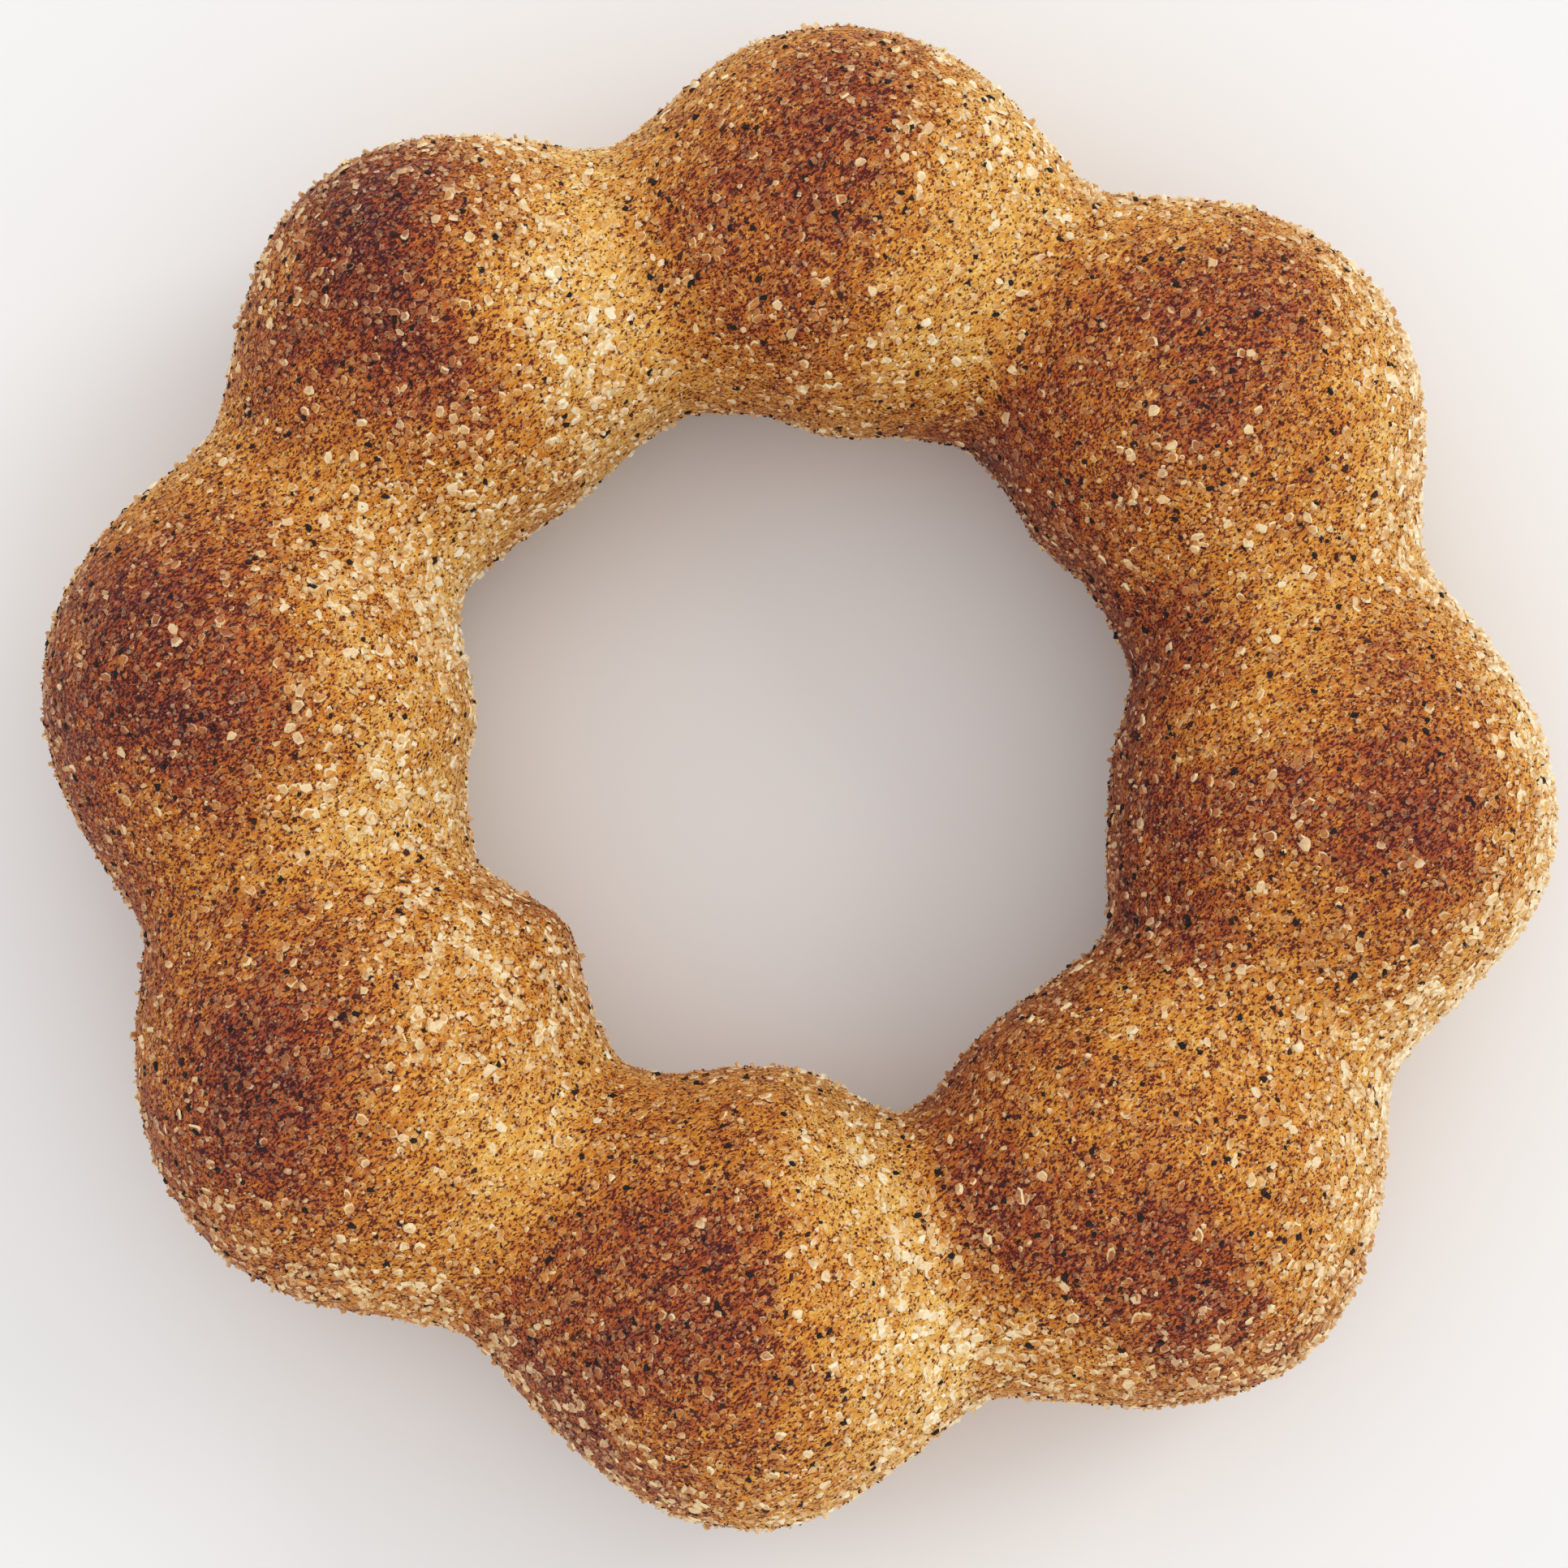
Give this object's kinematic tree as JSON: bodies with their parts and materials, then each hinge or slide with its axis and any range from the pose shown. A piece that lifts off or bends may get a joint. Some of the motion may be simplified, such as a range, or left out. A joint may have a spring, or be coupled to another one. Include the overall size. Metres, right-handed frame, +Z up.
{
  "type": "mochi doughnut",
  "caption": "Ring doughnut of round dough balls fused side by side, fried and coated all over in cinnamon sugar, with an open hole; it lies flat on small resting spots.",
  "frame": {"origin": "on the table under the middle of the ring: the middle of the underside of the box round the doughnut", "axes": "+Z up, out of the ring's hole; +X to the right and +Y to the top of the picture, seen from above"},
  "size_m": [0.0942, 0.094, 0.0253],
  "materials": {
    "crust": "matt golden-brown fried crust, darker on each ball's top, dusted with cinnamon",
    "sugar": "pale, slightly glassy sugar crystals stained tan by the cinnamon",
    "cinnamon": "matt dark brown cinnamon specks"
  },
  "bodies": {
    "root": {"doughnut": "crust"}
  },
  "joints": []
}
